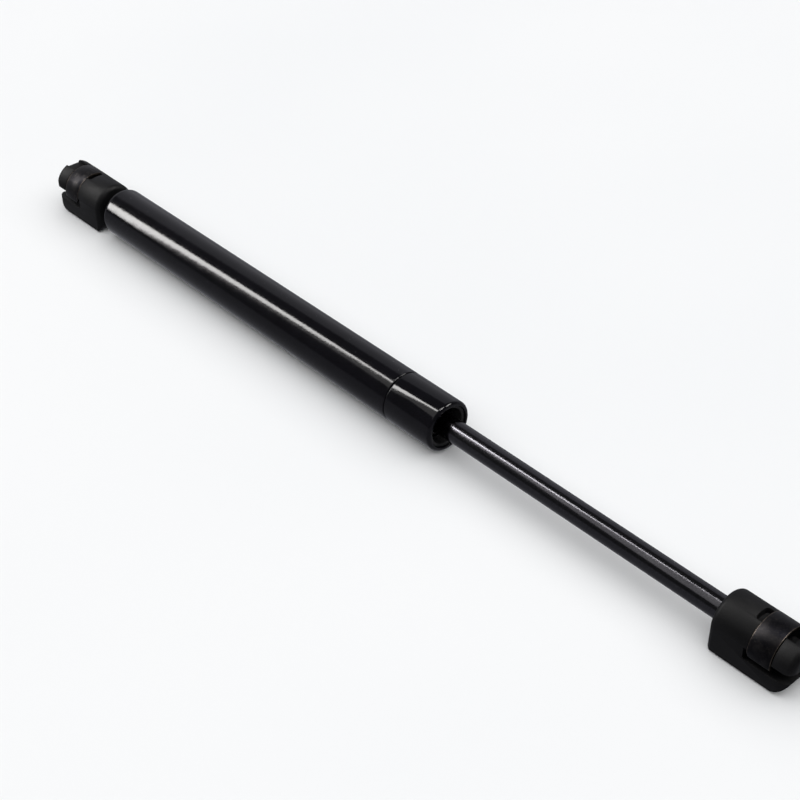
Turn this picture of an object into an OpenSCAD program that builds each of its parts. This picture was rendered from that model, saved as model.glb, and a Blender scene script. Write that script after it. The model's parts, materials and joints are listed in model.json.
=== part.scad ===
// Gas strut stay, rod fully out, with a clip-on ball socket at each end.
// X runs along the strut from the tube end to the rod end, Z is up.
// The origin is the centre of the ball in the tube-end socket.

/* [Strut] */
// Distance between the two ball centres with the rod fully out
open_length = 347; // [335:1:360]
// Travel of the rod
stroke = 110; // [60:1:110]
// Space left between the rod socket and the sleeve with the rod fully in
closed_gap = 7.8; // [6:0.1:12]
// Space between the tube-end socket and the end of the tube
tube_gap = 4.3; // [3:0.1:6]

/* [Tube] */
// Outer diameter of the tube and of the end sleeve
tube_d = 19; // [18.6:0.1:20]
// Wall of the tube
tube_wall = 1.5; // [1.4:0.1:1.6]
// Rounding of the closed end of the tube
tube_round = 2.2; // [1.5:0.1:2.4]
// Length of the end sleeve, mouth to seam
sleeve_len = 22.3; // [22:0.1:24]
// Width of the seam between the tube and the sleeve
seam = 0.25; // [0.2:0.05:0.5]
// Rounding of the two edges of the seam
seam_round = 0.45; // [0.2:0.05:0.6]
// Rounding of the mouth's outer rim
mouth_round = 0.5; // [0.2:0.05:0.8]
// Depth of the ring inside the mouth of the sleeve
ring_recess = 0.8; // [0.4:0.1:1.2]
// Inner diameter of the ring inside the mouth
ring_bore = 13.6; // [13:0.1:14]

/* [Rod] */
// Diameter of the piston rod
rod_d = 8; // [7.8:0.1:8]
// Outer diameter of the threads that hold the sockets
thread_d = 6; // [5:0.5:6]
// Pitch of the threads
thread_pitch = 1; // [0.8:0.1:1.2]
// Diameter of the rod's end under the piston
spigot_d = 5; // [4:0.1:5]

/* [Ball sockets] */
// Diameter of the ball that a socket takes
ball_d = 10; // [9.6:0.1:10]
// Width of a socket
socket_w = 17.4; // [17.2:0.1:18]
// From the ball centre down to the flat underside
socket_down = 9.5; // [9.5:0.1:10]
// From the ball centre to the shoulder that faces the strut
socket_back = 18.2; // [18:0.1:20]
// From the ball centre to the upper half's tip
upper_tip = 11.4; // [11:0.1:11.8]
// From the ball centre to the lower lip's tip
lip_tip = 11.2; // [10.8:0.1:11.6]
// Top of the side slot, above the ball centre
slot_top = 0.7; // [0.5:0.1:0.9]
// Bottom of the side slot, below the ball centre
slot_bottom = 3.6; // [3.2:0.1:3.8]
// Width of the notch along the top of the tip
notch_w = 6.2; // [5.6:0.1:6.6]
// Height of the notch's floor above the ball centre
notch_floor = 6.5; // [6.3:0.1:6.8]
// Length of the window in the notch, in front of the clip
window_len = 2.3; // [1.8:0.1:2.6]
// Length of the prying recess behind the clip
recess_len = 2.5; // [2:0.1:3]

/* [Safety clips] */
// Width of a clip along the strut
clip_w = 8.4; // [8:0.1:8.6]
// Thickness of the spring steel
clip_t = 0.8; // [0.7:0.05:0.85]
// Depth that a clip's folded ends reach in under the ball
clip_bite = 0.36; // [0.3:0.02:0.4]

/* [Hidden] */
$fn = 96;
fit = 0.02;
run = 0.05;
slack = 0.1;
end_gap = 0.2;
tube_r = tube_d / 2;
bore_r = tube_r - tube_wall;
neck_r = bore_r - tube_wall;
rod_r = rod_d / 2;
guide_bore_r = rod_r + run;
thread_r = thread_d / 2;
thread_depth = 0.35;
spigot_r = spigot_d / 2;

// Stations along the strut
tube_x = socket_back + tube_gap;
mouth_x = open_length - socket_back - stroke - closed_gap;
seam_x = mouth_x - sleeve_len;
shoulder_x = seam_x - seam;
bore_end_x = shoulder_x - tube_wall;
lip_bore_r = rod_r + 1.2;
ring_len = 5;
ring_x = mouth_x - ring_recess - ring_len;
neck_end_x = ring_x - end_gap;
plug_x = tube_x + 1.9;
plug_len = 7;
plug_boss_r = 5.4;
stud_in_socket = 11;
stud_in_plug = 6.9;
stud_x = socket_back - stud_in_socket;
rod_shoulder_x = open_length - socket_back;

// Guide and seal pack, from the bore's end to the rolled lip
flange_len = 4;
guide_x = bore_end_x - flange_len;
guide_body_len = 6;
oring_r = 0.62;
groove_w = 2;
groove_depth = 1.3;
plug_groove_x = plug_x + 2.2;
guide_groove_x = bore_end_x + 2;
pack_x = bore_end_x + guide_body_len;
washer_t = 0.8;
seal_x = pack_x + washer_t + fit;
seal_len = 4.8;
wiper_x = seal_x + seal_len + end_gap;
wiper_len = neck_end_x - tube_wall - wiper_x - slack;

// Piston group, from the guide back into the tube
bumper_len = 6;
bumper_x = guide_x - slack - bumper_len;
stop_x = bumper_x - washer_t;
piston_len = 8;
piston_x = stop_x - piston_len;
disc_x = piston_x - washer_t;
nut_len = 4;
nut_x = disc_x - nut_len;
nut_d = 9.2;
rod_x = nut_x - 0.8;
piston_r = bore_r - 0.35;
piston_groove_w = 2.2;
piston_groove_x = piston_x + (piston_len - piston_groove_w) / 2;
piston_groove_r = piston_r - 1.3;
piston_ring_side = 0.08;
piston_ring_split = 0.6;
bleed_d = 1.2;
piston_ring_r = bore_r - run;

// Ball sockets and clips
socket_r = socket_w / 2;
pocket_r = ball_d / 2 + run;
dome_r = ball_d / 2 + slack;
back_round = 2;
under_round = 1;
heel_round = 3.5;
toe_round = 9;
upper_round = 3;
lip_round = 4.4;
mouth_flare = 0.9;
window_floor = 4;
recess_depth = 1.6;
recess_round = 1.2;
clip_half = clip_w / 2;
clip_clear = 0.15;
front_gap = 0.4;
clip_out_r = socket_r + 0.05;
clip_in_r = clip_out_r - clip_t;
groove_r = clip_in_r - clip_clear;
slot_end = clip_half + 1.1;
fold_tip = ball_d / 2 - clip_bite;
fold_top = -sqrt(pow(ball_d / 2, 2) - pow(fold_tip, 2));
fold_bottom = fold_top - clip_t;
fold_r = 1.8;
clip_heel = 3.4;
clip_toe = 0.8;
far = 30;

// Revolves a profile about the strut's axis; the profile is drawn as [x, radius].
module about_x() {
    rotate([90, 0, 90])
        rotate_extrude()
            rotate(90)
                mirror([0, 1])
                    children();
}

// A plain ring about the strut's axis.
module ring(x, length, outer, inner) {
    translate([x, 0, 0])
        rotate([0, 90, 0])
            difference() {
                cylinder(r = outer, h = length);
                translate([0, 0, -1]) cylinder(r = inner, h = length + 2);
            }
}

// Outline of a screw thread that starts at x, ending on the axis.
function thread_points(x, length) =
    let (turns = floor(length / thread_pitch))
    concat(
        [[x, thread_r - thread_depth]],
        [for (i = [0:turns - 1], half = [0, 1])
            [x + (i + 0.5 * half + 0.25) * thread_pitch,
             half == 0 ? thread_r : thread_r - thread_depth]],
        [[x + length, thread_r - thread_depth], [x + length, 0]]
    );

// A square with its four corners rounded, from its low corner.
module soft_rect(low, size, r) {
    for (u = [r, size.x - r], v = [r, size.y - r])
        translate([low.x + u, low.y + v]) circle(r);
    translate([low.x + r, low.y]) square([size.x - 2 * r, size.y]);
    translate([low.x, low.y + r]) square([size.x, size.y - 2 * r]);
}

// Half section of a solid bar about the axis, with the rims of its two ends rounded.
module soft_end(x0, x1, r, round0, round1) {
    translate([x0, 0]) square([x1 - x0, r - max(round0, round1)]);
    translate([x0 + round0, 0]) square([x1 - x0 - round0 - round1, r]);
    translate([x0 + round0, r - round0]) circle(round0);
    translate([x1 - round1, r - round1]) circle(round1);
    translate([x0, 0]) square([round0 + 0.1, r - round0]);
    translate([x1 - round1 - 0.1, 0]) square([round1 + 0.1, r - round1]);
}

// --- Tube ---

module pressure_tube() {
    color("#232228")
        about_x()
            difference() {
                union() {
                    soft_end(tube_x, shoulder_x, tube_r, tube_round, seam_round);
                    translate([bore_end_x, neck_r])
                        square([neck_end_x - bore_end_x, bore_r - neck_r]);
                    translate([neck_end_x - tube_wall, lip_bore_r])
                        square([tube_wall, bore_r - lip_bore_r]);
                }
                translate([plug_x, 0]) square([bore_end_x - plug_x, bore_r]);
                translate([tube_x - 1, 0]) square([far, plug_boss_r + fit]);
                translate([bore_end_x - 1, 0]) square([tube_wall + 2, neck_r]);
            }
}

module tube_end_plug() {
    color("#77787c")
        about_x()
            difference() {
                union() {
                    translate([tube_x + end_gap, 0])
                        square([plug_x - tube_x, plug_boss_r]);
                    translate([plug_x + fit, 0])
                        square([plug_len, bore_r - fit]);
                }
                translate([plug_groove_x, bore_r - groove_depth]) square([groove_w, far]);
                translate([tube_x - 1, 0]) square([stud_in_plug + 1, thread_r + fit]);
            }
}

module plug_o_ring() {
    color("#151515")
        about_x()
            translate([plug_groove_x + groove_w / 2, bore_r - fit - oring_r]) circle(oring_r);
}

module tube_stud() {
    color("#8d8e90")
        about_x()
            polygon(concat(
                [[stud_x, 0]],
                thread_points(stud_x, stud_in_socket + tube_gap + stud_in_plug - slack)
            ));
}

module end_sleeve() {
    color("#232228")
        about_x()
            difference() {
                soft_end(seam_x, mouth_x, tube_r, seam_round, mouth_round);
                translate([seam_x - 1, 0]) square([sleeve_len + 2, bore_r + fit]);
            }
}

module mouth_ring() {
    color("#1b1b1e")
        ring(ring_x, ring_len, bore_r, ring_bore / 2);
}

// --- Guide and seal pack ---

module rod_guide() {
    color("#8a6a3c")
        about_x()
            difference() {
                union() {
                    translate([guide_x, guide_bore_r])
                        square([flange_len, bore_r - fit - guide_bore_r]);
                    translate([guide_x + 1, guide_bore_r])
                        square([flange_len + guide_body_len - 1 - fit, neck_r - fit - guide_bore_r]);
                }
                translate([guide_groove_x, neck_r - groove_depth])
                    square([groove_w, bore_r - neck_r + groove_depth]);
            }
}

module guide_o_ring() {
    color("#151515")
        about_x()
            translate([guide_groove_x + groove_w / 2, neck_r - fit - oring_r]) circle(oring_r);
}

module seal_washer() {
    color("#8d8e90") ring(pack_x, washer_t, neck_r - fit, rod_r + 0.3);
}

module rod_seal() {
    color("#151515")
        about_x()
            polygon([
                [seal_x, guide_bore_r + 0.6], [seal_x + 1.6, guide_bore_r],
                [seal_x + 2.4, guide_bore_r + 0.3], [seal_x + 3.2, guide_bore_r],
                [seal_x + seal_len, guide_bore_r + 0.5], [seal_x + seal_len, neck_r - fit],
                [seal_x, neck_r - fit], [seal_x, neck_r - 0.7],
                [seal_x + 1.6, neck_r - 1.1], [seal_x, guide_bore_r + 1.1]
            ]);
}

module wiper_ring() {
    color("#26262a")
        about_x()
            polygon([
                [wiper_x, guide_bore_r + 0.4], [wiper_x + wiper_len, guide_bore_r],
                [wiper_x + wiper_len, neck_r - 0.4], [wiper_x + wiper_len - 0.4, neck_r - fit],
                [wiper_x, neck_r - fit]
            ]);
}

// --- Piston group ---

module piston_ring() {
    color("#6b5a34")
        difference() {
            ring(piston_groove_x + piston_ring_side, piston_groove_w - 2 * piston_ring_side,
                 piston_ring_r, piston_groove_r + slack);
            translate([piston_groove_x, -piston_ring_split / 2, 0])
                cube([piston_groove_w, piston_ring_split, far]);
        }
}

module piston_rod() {
    color("#2e2e32")
        about_x()
            polygon(concat(
                [[rod_x, 0], [rod_x, spigot_r], [bumper_x, spigot_r],
                 [bumper_x, rod_r], [rod_shoulder_x, rod_r]],
                thread_points(rod_shoulder_x, stud_in_socket)
            ));
}

module piston() {
    color("#a9abae")
        difference() {
            about_x()
                difference() {
                    translate([piston_x + fit, spigot_r + fit])
                        square([piston_len - 2 * fit, piston_r - spigot_r - fit]);
                    translate([piston_groove_x, piston_groove_r])
                        square([piston_groove_w, far]);
                }
            translate([piston_x - 1, 0, (spigot_r + piston_groove_r) / 2])
                rotate([0, 90, 0])
                    cylinder(d = bleed_d, h = piston_len + 2);
        }
}

module stop_washer() {
    color("#8d8e90") ring(stop_x, washer_t - fit, bore_r - 1.2, spigot_r + fit);
}

module orifice_disc() {
    color("#8d8e90") ring(disc_x, washer_t - fit, bore_r - 2.6, spigot_r + fit);
}

module piston_nut() {
    color("#8d8e90")
        translate([nut_x, 0, 0])
            rotate([0, 90, 0])
                difference() {
                    cylinder(d = nut_d, h = nut_len - fit, $fn = 6);
                    translate([0, 0, -1]) cylinder(r = spigot_r + fit, h = nut_len + 2);
                }
}

module rebound_bumper() {
    color("#1a1a1a") ring(bumper_x + fit, bumper_len - fit, bore_r - 1.6, rod_r + fit);
}

// --- Ball sockets: the strut lies along +X from the ball centre ---

// Seen from above: the tip towards -X, the shoulder towards +X.
module socket_plan(tip, tip_round) {
    soft_rect([-tip, -socket_r], [tip + back_round + tip_round, socket_w], tip_round);
    soft_rect([0, -socket_r], [socket_back, socket_w], back_round);
}

// Seen along the strut: half round on top, flat underneath.
module socket_section() {
    circle(socket_r);
    soft_rect([-socket_r, -socket_down], [socket_w, socket_down + under_round], under_round);
}

// Seen from the side: the underside curves up far at the tip and a little at the shoulder.
module socket_side() {
    soft_rect([-lip_tip, -socket_down], [lip_tip + socket_back / 2, 2 * socket_down], toe_round);
    soft_rect([-heel_round, -socket_down],
              [heel_round + socket_back, 2 * socket_down], heel_round);
}

module socket_outside() {
    // Upper half, with the tip and the shoulder rounded all round
    intersection() {
        about_x()
            intersection() {
                soft_rect([-upper_tip, -socket_r], [upper_tip + socket_back, socket_w], back_round);
                translate([-far, 0]) square([2 * far, far]);
            }
        linear_extrude(far) socket_plan(upper_tip, upper_round);
    }
    // Lower half
    intersection() {
        translate([0, 0, -socket_down]) linear_extrude(socket_down)
            socket_plan(lip_tip, lip_round);
        translate([-far, 0, 0]) rotate([90, 0, 90]) linear_extrude(2 * far)
            socket_section();
        translate([0, far, 0]) rotate([90, 0, 0]) linear_extrude(2 * far)
            socket_side();
    }
}

// The groove that the clip lies in, over the top and down to the slots.
module clip_groove() {
    intersection() {
        ring(-clip_half - front_gap, clip_w + front_gap + clip_clear, far, groove_r);
        translate([-far / 2, -far / 2, 0]) cube([far, far, far]);
    }
}

module ball_socket() {
    color("#1e1e20")
        difference() {
            socket_outside();
            clip_groove();
            // Slit round the tip and both sides, open into the pocket
            translate([-far, -far, -slot_bottom])
                cube([far + slot_end, 2 * far, slot_bottom + slot_top]);
            // Notch along the top of the tip, with a window next to the clip
            translate([-far, -notch_w / 2, notch_floor])
                cube([far - clip_half, notch_w, far]);
            translate([-clip_half - window_len, 0, window_floor])
                linear_extrude(far)
                    soft_rect([0, -notch_w / 2], [window_len + recess_round, notch_w], recess_round);
            // Recess for prying the clip up
            translate([clip_half - recess_round, 0, groove_r - recess_depth])
                linear_extrude(far)
                    soft_rect([0, -notch_w / 2], [recess_round + recess_len, notch_w], recess_round);
            // Pocket for the ball, its way in and the flare at the mouth
            sphere(r = dome_r);
            translate([0, 0, -slot_bottom]) cylinder(r = dome_r, h = slot_bottom);
            translate([0, 0, -far]) cylinder(r = pocket_r, h = far);
            translate([0, 0, -socket_down - fit])
                cylinder(r1 = pocket_r + mouth_flare, r2 = pocket_r, h = mouth_flare);
            // Hole for the thread
            translate([stud_x - slack, 0, 0])
                rotate([0, 90, 0])
                    cylinder(r = thread_r + fit, h = far);
        }
}

// Spring-steel clip: a band over the top whose ends fold in under the ball.
module clip_outline() {
    difference() {
        union() {
            intersection() {
                circle(clip_out_r);
                translate([-far, 0]) square([2 * far, far]);
            }
            soft_rect([-clip_out_r, fold_bottom],
                      [2 * clip_out_r, fold_r - fold_bottom], fold_r);
        }
        intersection() {
            circle(clip_in_r);
            translate([-far, 0]) square([2 * far, far]);
        }
        soft_rect([-clip_in_r, fold_top],
                  [2 * clip_in_r, fold_r - fold_top], fold_r - clip_t);
        translate([-fold_tip, -far]) square([2 * fold_tip, far]);
    }
}

// Seen from the side: the lower corner next to the shoulder is cut well round.
module clip_side() {
    soft_rect([-clip_half, fold_bottom], [clip_half, far], clip_toe);
    soft_rect([-clip_half + clip_toe, fold_bottom], [clip_w - clip_toe, far], clip_heel);
}

module clip_band() {
    color("#3a3a3e")
        intersection() {
            translate([-clip_half, 0, 0])
                rotate([90, 0, 90])
                    linear_extrude(clip_w)
                        clip_outline();
            translate([0, far, 0])
                rotate([90, 0, 0])
                    linear_extrude(2 * far)
                        clip_side();
        }
}

module at_rod_end() {
    translate([open_length, 0, 0]) rotate(180) children();
}

module tube_socket() {
    ball_socket();
}

module tube_clip() {
    clip_band();
}

module rod_socket() {
    at_rod_end() ball_socket();
}

module rod_clip() {
    at_rod_end() clip_band();
}

pressure_tube();
tube_end_plug();
plug_o_ring();
tube_stud();
end_sleeve();
mouth_ring();
rod_guide();
guide_o_ring();
seal_washer();
rod_seal();
wiper_ring();
tube_socket();
tube_clip();
piston_ring();
piston_rod();
piston();
stop_washer();
orifice_disc();
piston_nut();
rebound_bumper();
rod_socket();
rod_clip();
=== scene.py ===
"""Looks of the gas strut stay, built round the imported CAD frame. Metres, row frame."""

import json
import math

import bmesh
import bpy
from mathutils import Matrix, Vector

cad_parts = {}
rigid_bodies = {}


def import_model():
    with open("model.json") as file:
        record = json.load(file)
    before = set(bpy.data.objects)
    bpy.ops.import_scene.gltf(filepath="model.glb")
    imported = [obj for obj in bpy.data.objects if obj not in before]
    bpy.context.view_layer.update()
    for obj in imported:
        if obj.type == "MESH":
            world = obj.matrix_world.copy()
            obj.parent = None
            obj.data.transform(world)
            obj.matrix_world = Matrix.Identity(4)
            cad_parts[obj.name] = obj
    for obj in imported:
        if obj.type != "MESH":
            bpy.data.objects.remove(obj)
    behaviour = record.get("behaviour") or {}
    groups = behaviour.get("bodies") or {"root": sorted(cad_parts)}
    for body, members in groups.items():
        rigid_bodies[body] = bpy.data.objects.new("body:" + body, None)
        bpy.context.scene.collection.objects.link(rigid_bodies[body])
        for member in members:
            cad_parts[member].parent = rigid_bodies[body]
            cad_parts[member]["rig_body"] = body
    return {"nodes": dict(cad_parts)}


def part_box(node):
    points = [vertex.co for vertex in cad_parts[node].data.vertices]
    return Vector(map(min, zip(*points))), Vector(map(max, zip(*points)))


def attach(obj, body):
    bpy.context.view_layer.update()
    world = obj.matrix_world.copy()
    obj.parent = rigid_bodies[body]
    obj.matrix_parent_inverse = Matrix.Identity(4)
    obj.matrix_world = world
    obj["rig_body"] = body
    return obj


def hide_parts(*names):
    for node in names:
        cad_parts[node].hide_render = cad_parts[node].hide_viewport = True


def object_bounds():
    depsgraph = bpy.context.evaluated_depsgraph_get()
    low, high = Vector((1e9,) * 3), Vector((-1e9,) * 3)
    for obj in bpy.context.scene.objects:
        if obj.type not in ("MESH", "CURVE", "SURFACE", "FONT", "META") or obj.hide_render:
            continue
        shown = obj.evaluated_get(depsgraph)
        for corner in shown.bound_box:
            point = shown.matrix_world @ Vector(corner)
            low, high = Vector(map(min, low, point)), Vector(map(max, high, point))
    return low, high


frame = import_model()
CAD_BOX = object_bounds()

MM = 0.001
AROUND = 160  # faces round a turned part
CORNER_STEPS = 4  # faces across a softened corner
RIM_STEPS = 10  # faces across a rounded rim
RIM_SHARES = {"end_sleeve": 0.8}  # how much of the wall a rim's rounding takes
EDGE_STEPS = 2  # faces across a rounded edge
SHARP = math.radians(24)  # a turn above this is an edge, below it a curve
CREASE = math.radians(40)  # shading breaks above this turn
FLAT = math.radians(0.4)  # faces that turn less than this are one face
WELD = 0.002 * MM  # points closer than this are one point
ON_AXIS = 1e-7  # a radius below this is a point on the axis


# --- Meshes ---

def add_piece(name, bm, node):
    """Makes the mesh a piece that stands for a CAD node, on that node's body."""
    bmesh.ops.recalc_face_normals(bm, faces=bm.faces)
    mesh = bpy.data.meshes.new(name)
    bm.to_mesh(mesh)
    bm.free()
    for polygon in mesh.polygons:
        polygon.use_smooth = True
    mesh.set_sharp_from_angle(angle=CREASE)
    piece = bpy.data.objects.new(name, mesh)
    bpy.context.scene.collection.objects.link(piece)
    body = frame["nodes"][node]["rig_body"]
    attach(piece, body)
    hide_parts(node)
    return piece


def read_profile(node):
    """Outline of a turned CAD node as points (x, radius), and whether it closes on itself."""
    mesh = frame["nodes"][node].data
    place = {}
    for v in mesh.vertices:
        place[v.index] = (round(v.co.x, 6), round(math.hypot(v.co.y, v.co.z), 6))
    near = {}
    for p in mesh.polygons:
        rings = {place[i] for i in p.vertices}
        for ring in rings:
            near.setdefault(ring, set()).update(rings - {ring})
    ends = sorted(r for r in near if len(near[r]) == 1)
    here = ends[0] if ends else min(near)
    walk = [here]
    while True:
        ahead = [r for r in near[here] if r not in walk]
        if not ahead:
            break
        here = min(ahead, key=lambda r: math.dist(r, here))
        walk.append(here)
    if ends:
        for index, at in ((0, 0), (len(walk), -1)):
            if walk[at][1] > 0:
                walk.insert(index, (walk[at][0], 0.0))
    return [Vector(p) for p in walk], not ends


def soften(points, closed, size):
    """The outline with its corners rounded, by up to size."""
    out = []
    count = len(points)
    for i, p in enumerate(points):
        if not closed and i in (0, count - 1):
            out.append(p)
            continue
        before = points[i - 1] - p
        after = points[(i + 1) % count] - p
        turn = math.pi - before.angle(after)
        if turn < SHARP:
            out.append(p)
            continue
        reach = min(size, 0.42 * before.length, 0.42 * after.length)
        a = p + before.normalized() * reach
        b = p + after.normalized() * reach
        for k in range(CORNER_STEPS + 1):
            t = k / CORNER_STEPS
            out.append(a * (1 - t) ** 2 + p * (2 * t * (1 - t)) + b * t ** 2)
    return out


def round_rim(points, share):
    """A closed outline whose outer corner at the +X end is rounded again, by a share of its wall."""
    end = max(p.x for p in points)
    top = max(p.y for p in points)
    radius = share * (top - min(p.y for p in points))
    centre = Vector((end - radius, top - radius))
    inside = [p.x > centre.x and p.y > centre.y for p in points]
    first = next(i for i in range(len(points)) if inside[i] and not inside[i - 1])
    kept = [p for p in points[first:] + points[:first] if not (p.x > centre.x and p.y > centre.y)]
    arc = []
    for k in range(RIM_STEPS + 1):
        angle = math.pi / 2 * k / RIM_STEPS
        arc.append(centre + radius * Vector((math.cos(angle), math.sin(angle))))
    if (kept[-1] - arc[0]).length > (kept[-1] - arc[-1]).length:
        arc.reverse()
    return kept + arc


def turned(node, size):
    """A turned CAD node again, with finer faces and softened edges."""
    points, closed = read_profile(node)
    if node in RIM_SHARES:
        points = round_rim(points, RIM_SHARES[node])
    points = soften(points, closed, size)
    bm = bmesh.new()
    rings = []
    for x, r in points:
        if r < ON_AXIS:
            rings.append([bm.verts.new((x, 0, 0))] * AROUND)
            continue
        ring = []
        for k in range(AROUND):
            angle = 2 * math.pi * k / AROUND
            ring.append(bm.verts.new((x, r * math.cos(angle), r * math.sin(angle))))
        rings.append(ring)
    pairs = list(zip(rings, rings[1:]))
    if closed:
        pairs.append((rings[-1], rings[0]))
    for a, b in pairs:
        for k in range(AROUND):
            m = (k + 1) % AROUND
            corners = []
            for v in (a[k], a[m], b[m], b[k]):
                if v not in corners:
                    corners.append(v)
            if len(corners) > 2:
                bm.faces.new(corners)
    return add_piece(node + "_fine", bm, node)


def edged(node, size):
    """A CAD node again, with its sharp edges rounded."""
    bm = bmesh.new()
    bm.from_mesh(frame["nodes"][node].data)
    bmesh.ops.remove_doubles(bm, verts=bm.verts, dist=WELD)
    bmesh.ops.dissolve_limit(bm, angle_limit=FLAT, verts=bm.verts, edges=bm.edges)
    sharp = [e for e in bm.edges if e.is_manifold and e.calc_face_angle() > SHARP]
    bmesh.ops.bevel(
        bm, geom=sharp, offset=size, segments=EDGE_STEPS, profile=0.5,
        affect="EDGES", clamp_overlap=True, harden_normals=False,
    )
    return add_piece(node + "_fine", bm, node)


# --- Materials ---

class Surface:
    """A procedural material, built up from noise in the part's own coordinates."""

    def __init__(self, name, **uniform):
        self.material = bpy.data.materials.new(name)
        self.material.use_nodes = True
        self.nodes = self.material.node_tree.nodes
        self.links = self.material.node_tree.links
        self.nodes.clear()
        output = self.nodes.new("ShaderNodeOutputMaterial")
        self.shader = self.nodes.new("ShaderNodeBsdfPrincipled")
        self.links.new(self.shader.outputs[0], output.inputs[0])
        for socket, value in uniform.items():
            self.shader.inputs[socket.replace("_", " ")].default_value = value
        self.place = self.nodes.new("ShaderNodeTexCoord").outputs["Object"]
        self.normal = None

    def scaled(self, stretch):
        node = self.nodes.new("ShaderNodeMapping")
        node.inputs["Scale"].default_value = stretch
        self.links.new(self.place, node.inputs["Vector"])
        return node.outputs[0]

    def noise(self, size, detail=2.0, stretch=(1, 1, 1), roughness=0.5):
        """Noise with features of about that size, in metres."""
        node = self.nodes.new("ShaderNodeTexNoise")
        node.inputs["Scale"].default_value = 1.0
        node.inputs["Detail"].default_value = detail
        node.inputs["Roughness"].default_value = roughness
        self.links.new(self.scaled([s / size for s in stretch]), node.inputs["Vector"])
        return node.outputs["Fac"]

    def specks(self, size, spacing):
        """1 in small specks of that size, 0 between them."""
        node = self.nodes.new("ShaderNodeTexVoronoi")
        node.inputs["Scale"].default_value = 1.0
        self.links.new(self.scaled([1 / spacing] * 3), node.inputs["Vector"])
        share = size / spacing
        return self.spread(node.outputs["Distance"], share, 0.6 * share, 0, 1)

    def spread(self, value, low, high, to_low, to_high):
        node = self.nodes.new("ShaderNodeMapRange")
        node.interpolation_type = "SMOOTHSTEP"
        for socket, number in zip(node.inputs[1:5], (low, high, to_low, to_high)):
            socket.default_value = number
        self.links.new(value, node.inputs[0])
        return node.outputs[0]

    def math(self, kind, a, b):
        node = self.nodes.new("ShaderNodeMath")
        node.operation = kind
        for socket, value in zip(node.inputs, (a, b)):
            if isinstance(value, (int, float)):
                socket.default_value = value
            else:
                self.links.new(value, socket)
        return node.outputs[0]

    def mix(self, share, a, b):
        """Colour a where share is 0 and b where it is 1; each is a colour or a socket."""
        node = self.nodes.new("ShaderNodeMix")
        node.data_type = "RGBA"
        self.links.new(share, node.inputs["Factor"])
        for socket, value in zip((node.inputs[6], node.inputs[7]), (a, b)):
            if isinstance(value, tuple):
                socket.default_value = (*value, 1)
            else:
                self.links.new(value, socket)
        return node.outputs[2]

    def bump(self, height, depth):
        """Adds relief: height runs from 0 to 1, and depth is what 1 means in metres."""
        node = self.nodes.new("ShaderNodeBump")
        node.inputs["Strength"].default_value = 1.0
        node.inputs["Distance"].default_value = depth
        self.links.new(height, node.inputs["Height"])
        if self.normal is not None:
            self.links.new(self.normal, node.inputs["Normal"])
        self.normal = node.outputs[0]

    def finish(self, colour, roughness):
        self.links.new(colour, self.shader.inputs["Base Color"])
        self.links.new(roughness, self.shader.inputs["Roughness"])
        if self.normal is not None:
            self.links.new(self.normal, self.shader.inputs["Normal"])
        return self.material


def gloss_paint(name, tint, rough, peel, dusty):
    s = Surface(name, Specular_IOR_Level=0.25)
    broad = s.noise(9 * MM)
    colour = s.mix(s.spread(broad, 0.3, 0.7, 0, 1), tuple(0.7 * c for c in tint), tint)
    dust = s.specks(0.075 * MM, 1.5 * MM)
    keep = s.spread(s.noise(14 * MM, 1.0), 0.5, 0.62, 0, dusty)
    dust = s.math("MULTIPLY", dust, keep)
    colour = s.mix(dust, colour, (0.32, 0.32, 0.34))
    cloud = s.spread(s.noise(2.2 * MM, 3.0), 0.3, 0.7, rough, 1.35 * rough)
    s.bump(s.noise(0.7 * MM, 3.0), peel)
    s.bump(s.noise(3.5 * MM, 1.0), 1.6 * peel)
    return s.finish(colour, s.math("ADD", cloud, s.math("MULTIPLY", dust, 0.5)))


def ground_steel(name, dark, light, rough):
    s = Surface(name, Metallic=1.0)
    grain = s.noise(0.24 * MM, 3.0, (1, 0.6, 0.6), 0.7)
    lines = s.noise(0.12 * MM, 1.0, (1, 0.06, 0.06))
    scratch_highlight = s.noise(7 * MM, 3.0, (0.35, 1, 1))
    fine = s.spread(grain, 0.34, 0.66, 0.12, 1)
    tone = s.math("MULTIPLY", fine, s.spread(scratch_highlight, 0.3, 0.7, 0.7, 1))
    colour = s.mix(tone, dark, light)
    s.bump(grain, 0.004 * MM)
    s.bump(lines, 0.002 * MM)
    return s.finish(colour, s.spread(grain, 0.3, 0.7, rough[0], rough[1]))


def moulded_nylon(name, dark, light):
    s = Surface(name, Specular_IOR_Level=0.16)
    grain = s.noise(0.28 * MM, 3.0, (1, 1, 1), 0.6)
    flow = s.noise(5 * MM, 3.0, (0.5, 1, 1))
    colour = s.mix(s.spread(flow, 0.3, 0.7, 0, 1), dark, light)
    fibre = s.spread(s.noise(0.5 * MM, 1.0), 0.62, 0.75, 0, 0.5)
    colour = s.mix(fibre, colour, tuple(1.7 * c for c in light))
    s.bump(grain, 0.02 * MM)
    s.bump(s.noise(1.8 * MM, 2.0), 0.02 * MM)
    return s.finish(colour, s.spread(flow, 0.3, 0.7, 0.46, 0.58))


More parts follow.
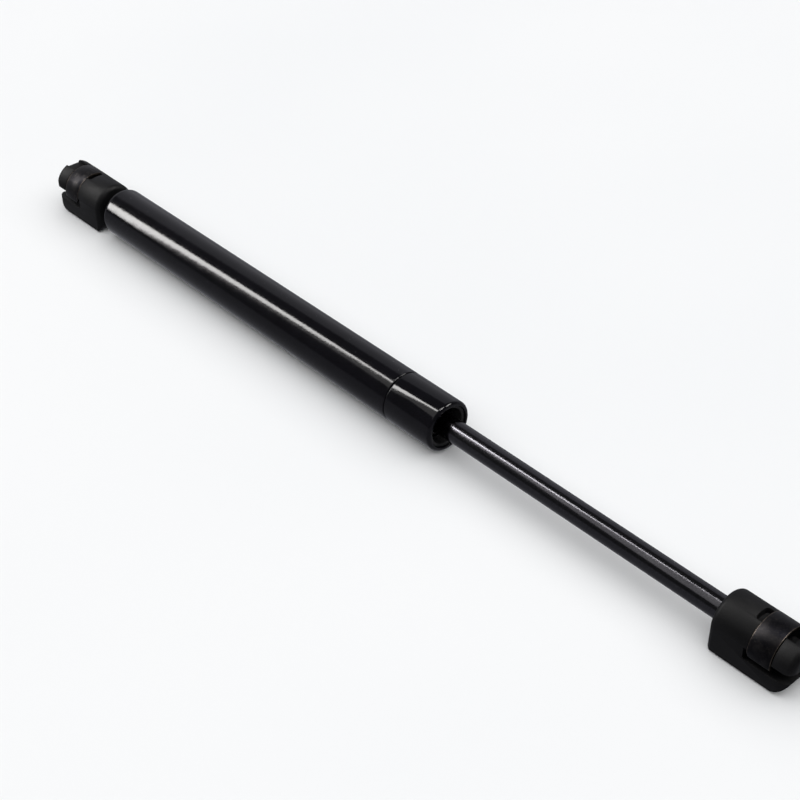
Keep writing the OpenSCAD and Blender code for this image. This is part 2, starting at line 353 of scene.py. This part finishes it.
def spring_steel(name, middle, half, scratch_highlight):
    """Dark oiled strip, paler along its two long edges from rubbing and from a painted edge
    highlight; middle and half are along X.
    The last argument, from 0 to 1, sets how strongly bright scratches are painted on the strip's
    face. They stand for scratches and also for a painted highlight."""
    s = Surface(name, Metallic=1.0)
    grain = s.noise(0.2 * MM, 3.0, (0.25, 1, 1), 0.6)
    stain = s.noise(3.5 * MM, 3.0)
    colour = s.mix(s.spread(stain, 0.3, 0.7, 0, 1), (0.007, 0.007, 0.009), (0.02, 0.019, 0.02))
    colour = s.mix(s.spread(grain, 0.55, 0.8, 0, 0.5), colour, (0.07, 0.064, 0.06))
    # Bright scratches on the face: wear, and also a painted highlight where the scratch share is
    # high
    scratch_glint_mask = s.spread(s.noise(0.16 * MM, 2.0, (1, 0.08, 0.08), 0.6), 0.6, 0.72, 0, 1)
    scratch_glint_mask = s.math("MULTIPLY", scratch_glint_mask, s.spread(stain, 0.42, 0.6, 0, scratch_highlight))
    colour = s.mix(scratch_glint_mask, colour, (0.16, 0.15, 0.14))
    split = s.nodes.new("ShaderNodeSeparateXYZ")
    s.links.new(s.place, split.inputs[0])
    # A paler band along both long edges: rubbing, and a painted highlight along the edges
    off = s.math("ABSOLUTE", s.math("SUBTRACT", split.outputs["X"], middle), 0)
    rub_and_edge_highlight = s.spread(off, half - 0.35 * MM, half - 0.05 * MM, 0, 1)
    rub_and_edge_highlight = s.math("MULTIPLY", rub_and_edge_highlight, s.spread(s.noise(1.2 * MM, 3.0), 0.35, 0.6, 0.25, 1))
    colour = s.mix(rub_and_edge_highlight, colour, (0.1, 0.084, 0.07))
    s.bump(grain, 0.008 * MM)
    s.bump(stain, 0.03 * MM)
    return s.finish(colour, s.spread(grain, 0.3, 0.7, 0.34, 0.5))


def plain_metal(name, dark, light, rough, size=0.3 * MM, stretch=(1, 0.2, 0.2)):
    """Turned or pressed metal of the parts inside."""
    s = Surface(name, Metallic=1.0)
    grain = s.noise(size, 2.0, stretch)
    stain = s.noise(4 * MM, 3.0)
    colour = s.mix(s.spread(stain, 0.3, 0.7, 0, 1), dark, light)
    s.bump(grain, 0.004 * MM)
    return s.finish(colour, s.spread(grain, 0.3, 0.7, rough[0], rough[1]))


def seal_rubber(name):
    s = Surface(name, Specular_IOR_Level=0.3)
    bloom = s.noise(2.5 * MM, 3.0)
    colour = s.mix(s.spread(bloom, 0.3, 0.7, 0, 1), (0.007, 0.007, 0.007), (0.016, 0.016, 0.016))
    s.bump(s.noise(0.15 * MM, 2.0), 0.008 * MM)
    return s.finish(colour, s.spread(bloom, 0.3, 0.7, 0.55, 0.7))


CLIP_BOXES = {"tube_clip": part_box("tube_clip"), "rod_clip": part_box("rod_clip")}
CLIP_SCRATCH_HIGHLIGHT = {"tube_clip": 1.0, "rod_clip": 0.15}  # how strongly bright scratches are painted on each clip, from 0 to 1; on the tube clip they are also a painted highlight

materials = {
    "tube_paint": gloss_paint(
        "tube_paint_gloss", (0.0038, 0.0035, 0.0052), 0.09, 0.012 * MM, 0.9),
    "sleeve_paint": gloss_paint(
        "sleeve_paint_gloss", (0.0036, 0.0034, 0.0050), 0.07, 0.006 * MM, 0.6),
    "rod_steel": ground_steel(
        "rod_steel_ground", (0.03, 0.03, 0.034), (0.085, 0.083, 0.09), (0.11, 0.2)),
    "socket_plastic": moulded_nylon(
        "socket_nylon", (0.002, 0.002, 0.0023), (0.0036, 0.0036, 0.0042)),
    "seal_rubber": seal_rubber("seal_rubber_black"),
    "ring_plastic": moulded_nylon(
        "ring_nylon", (0.016, 0.016, 0.0165), (0.026, 0.026, 0.027)),
    "guide_bronze": plain_metal(
        "guide_bronze_sintered", (0.3, 0.19, 0.08), (0.5, 0.34, 0.16), (0.4, 0.6),
        0.2 * MM, (1, 1, 1)),
    "piston_alloy": plain_metal(
        "piston_alloy_turned", (0.5, 0.51, 0.53), (0.68, 0.69, 0.71), (0.22, 0.4)),
    "stud_steel": plain_metal(
        "stud_steel_plated", (0.3, 0.31, 0.33), (0.5, 0.51, 0.53), (0.25, 0.42)),
}


# --- The strut ---

# Each piece's slot, and how far its corners are softened, in mm
TURNED = {
    "pressure_tube": ("tube_paint", 0.12),
    "tube_end_plug": ("tube_paint", 0.15),
    "plug_o_ring": ("seal_rubber", 0.05),
    "tube_stud": ("rod_steel", 0.05),
    "end_sleeve": ("sleeve_paint", 0.22),
    "mouth_ring": ("ring_plastic", 0.3),
    "rod_guide": ("guide_bronze", 0.15),
    "guide_o_ring": ("seal_rubber", 0.05),
    "seal_washer": ("stud_steel", 0.12),
    "rod_seal": ("seal_rubber", 0.12),
    "wiper_ring": ("ring_plastic", 0.12),
    "piston_rod": ("rod_steel", 0.15),
    "stop_washer": ("stud_steel", 0.12),
    "orifice_disc": ("stud_steel", 0.1),
    "rebound_bumper": ("seal_rubber", 0.3),
}
EDGED = {
    "tube_socket": ("socket_plastic", 0.22),
    "rod_socket": ("socket_plastic", 0.22),
    "tube_clip": ("clip_steel", 0.12),
    "rod_clip": ("clip_steel", 0.12),
    "piston_ring": ("guide_bronze", 0.06),
    "piston": ("piston_alloy", 0.12),
    "piston_nut": ("stud_steel", 0.15),
}

for node, (slot, size) in TURNED.items():
    piece = turned(node, size * MM)
    piece.data.materials.append(materials[slot])
for node, (slot, size) in EDGED.items():
    piece = edged(node, size * MM)
    if node in CLIP_BOXES:
        low, high = CLIP_BOXES[node]
        steel = spring_steel(
            node + "_spring_steel", (low.x + high.x) / 2, (high.x - low.x) / 2, CLIP_SCRATCH_HIGHLIGHT[node]
        )
        piece.data.materials.append(steel)
    else:
        piece.data.materials.append(materials[slot])


# --- Floor, light and camera ---

FLOOR_HALF = 12.0
FLOOR_GAP = 0.03 * MM

# The long tapering panel overhead: pairs of (x, y) on its two sides, from its far end
KEY_HEIGHT = 1.5
KEY_POWER = 23.0
KEY_SIDES = (
    ((-9.0, -7.5), (-2.9, -1.62)),
    ((-1.075, -0.79), (-0.98, -0.42)),
    ((-0.88, -0.57), (-0.8, -0.35)),
    ((-0.1, -0.02), (-0.05, 0.04)),
    ((0.25, 0.05), (0.25, 0.065)),
)
# The dim panel along the near side of it, and its width at each pair
SKIRT_POWER = 1.25
SKIRT_WIDTHS = (0.42, 0.42, 0.75, 2.0, 2.3)
SKIRT_OUTWARD = Vector((-0.25, -1, 0))
# The small panel overhead
HOOK_POWER = 32.0
HOOK_X = (0.5, 0.8)
HOOK_Y = (-0.15, 0.3)
# The card on the floor
CARD_POWER = 0.28
# The panel standing behind the strut
BACK_POWER = 0.5
BACK_DISTANCE = 3.0
BACK_HEIGHT = 3.4
BACK_HALF = 6.0
# The small panel to the right and behind
RIM_POWER = 16.0
RIM_DIRECTION = Vector((0.6, 0.52, 0.6))
RIM_HALF = 0.5
# The lamp that lights the floor, from the middle of the strut
FILL_POWER = 274.0
FILL_OFFSET = Vector((-0.3, 0.35, 2.6))
FILL_SIZE = 8.0
WORLD_POWER = 0.1

WHITE = (1, 0.985, 0.97)
COOL = (0.97, 0.97, 1.05)
CARD_TINT = (0.96, 0.97, 1.06)

CAMERA_LENS = 75.72
CAMERA_SENSOR = 36.0
CAMERA_AT = Vector((0.52325, -0.31102, 0.35257))
CAMERA_LOOK = Vector((-0.58054, 0.53663, -0.61237))
CAMERA_RIGHT = Vector((0.67767, 0.73536, 0.00196))


def add_floor():
    s = Surface("floor_white", Specular_IOR_Level=0.2)
    soft = s.noise(0.35, 2.0)
    colour = s.mix(s.spread(soft, 0.3, 0.7, 0, 1), (0.83, 0.84, 0.85), (0.86, 0.865, 0.87))
    material = s.finish(colour, s.spread(soft, 0.3, 0.7, 0.7, 0.8))
    bm = bmesh.new()
    z = CAD_BOX[0].z - FLOOR_GAP
    h = FLOOR_HALF
    bm.faces.new([bm.verts.new((x, y, z)) for x, y in ((-h, -h), (h, -h), (h, h), (-h, h))])
    mesh = bpy.data.meshes.new("floor")
    bm.to_mesh(mesh)
    bm.free()
    mesh.materials.append(material)
    floor = bpy.data.objects.new("floor", mesh)
    bpy.context.scene.collection.objects.link(floor)


def add_panel(name, rows, power, tint):
    """A glowing strip through pairs of points; it shows in reflections only."""
    material = bpy.data.materials.new(name + "_glow")
    material.use_nodes = True
    nodes = material.node_tree.nodes
    nodes.clear()
    output = nodes.new("ShaderNodeOutputMaterial")
    glow = nodes.new("ShaderNodeEmission")
    glow.inputs["Strength"].default_value = power
    glow.inputs["Color"].default_value = (*tint, 1)
    material.node_tree.links.new(glow.outputs[0], output.inputs[0])
    bm = bmesh.new()
    rows = [[bm.verts.new(p) for p in row] for row in rows]
    for a, b in zip(rows, rows[1:]):
        bm.faces.new((a[0], a[1], b[1], b[0]))
    mesh = bpy.data.meshes.new(name)
    bm.to_mesh(mesh)
    bm.free()
    mesh.materials.append(material)
    panel = bpy.data.objects.new(name, mesh)
    bpy.context.scene.collection.objects.link(panel)
    panel.visible_camera = False
    panel.visible_diffuse = False
    panel.visible_shadow = False


def add_lights():
    sides = [[Vector((*p, KEY_HEIGHT)) for p in pair] for pair in KEY_SIDES]
    add_panel("key_panel", sides, KEY_POWER, WHITE)
    skirt = [[low + SKIRT_OUTWARD * width, low] for (low, high), width in zip(sides, SKIRT_WIDTHS)]
    add_panel("key_skirt", skirt, SKIRT_POWER, WHITE)
    # For the rounded edge of the sleeve's mouth
    hook = [[Vector((x, y, KEY_HEIGHT)) for y in HOOK_Y] for x in HOOK_X]
    add_panel("hook_panel", hook, HOOK_POWER, WHITE)
    # The grey card keeps the white floor from greying the gloss paint
    z = CAD_BOX[0].z - 0.5 * FLOOR_GAP
    ends = (-FLOOR_HALF, FLOOR_HALF)
    add_panel("floor_card", [[Vector((x, y, z)) for y in ends] for x in ends], CARD_POWER, CARD_TINT)
    # It stands square to the camera's view
    side = Vector((1, 1, 0)).normalized() * BACK_HALF
    up = Vector((0, 0, BACK_HEIGHT))
    middle = Vector((-1, 1, 0)).normalized() * BACK_DISTANCE
    back = [[middle - side, middle - side + up], [middle + side, middle + side + up]]
    add_panel("back_panel", back, BACK_POWER, COOL)
    # For the rims that face along the strut
    middle = RIM_DIRECTION.normalized() * BACK_DISTANCE
    across = Vector((0, 0, 1)).cross(middle).normalized() * RIM_HALF
    rise = middle.cross(across).normalized() * RIM_HALF
    rim = [[middle + sign * across - rise, middle + sign * across + rise] for sign in (-1, 1)]
    add_panel("rim_panel", rim, RIM_POWER, WHITE)
    lamp = bpy.data.lights.new("fill", "AREA")
    lamp.shape = "SQUARE"
    lamp.size = FILL_SIZE
    lamp.energy = FILL_POWER
    fill = bpy.data.objects.new("fill", lamp)
    low, high = CAD_BOX
    fill.location = (low + high) / 2 + FILL_OFFSET
    fill.visible_glossy = False
    bpy.context.scene.collection.objects.link(fill)


def add_world():
    world = bpy.data.worlds.new("studio")
    bpy.context.scene.world = world
    world.use_nodes = True
    background = world.node_tree.nodes["Background"]
    background.inputs["Color"].default_value = (0.97, 0.98, 1.0, 1)
    background.inputs["Strength"].default_value = WORLD_POWER


def add_camera():
    data = bpy.data.cameras.new("camera")
    data.sensor_width = CAMERA_SENSOR
    data.lens = CAMERA_LENS
    data.clip_start = 0.01
    data.clip_end = 100.0
    camera = bpy.data.objects.new("camera", data)
    back = -CAMERA_LOOK.normalized()
    up = back.cross(CAMERA_RIGHT).normalized()
    turn = Matrix((up.cross(back), up, back)).transposed().to_4x4()
    camera.matrix_world = Matrix.Translation(CAMERA_AT) @ turn
    bpy.context.scene.collection.objects.link(camera)
    bpy.context.scene.camera = camera


add_floor()
add_lights()
add_world()
add_camera()
bpy.context.scene.view_settings.view_transform = "Standard"
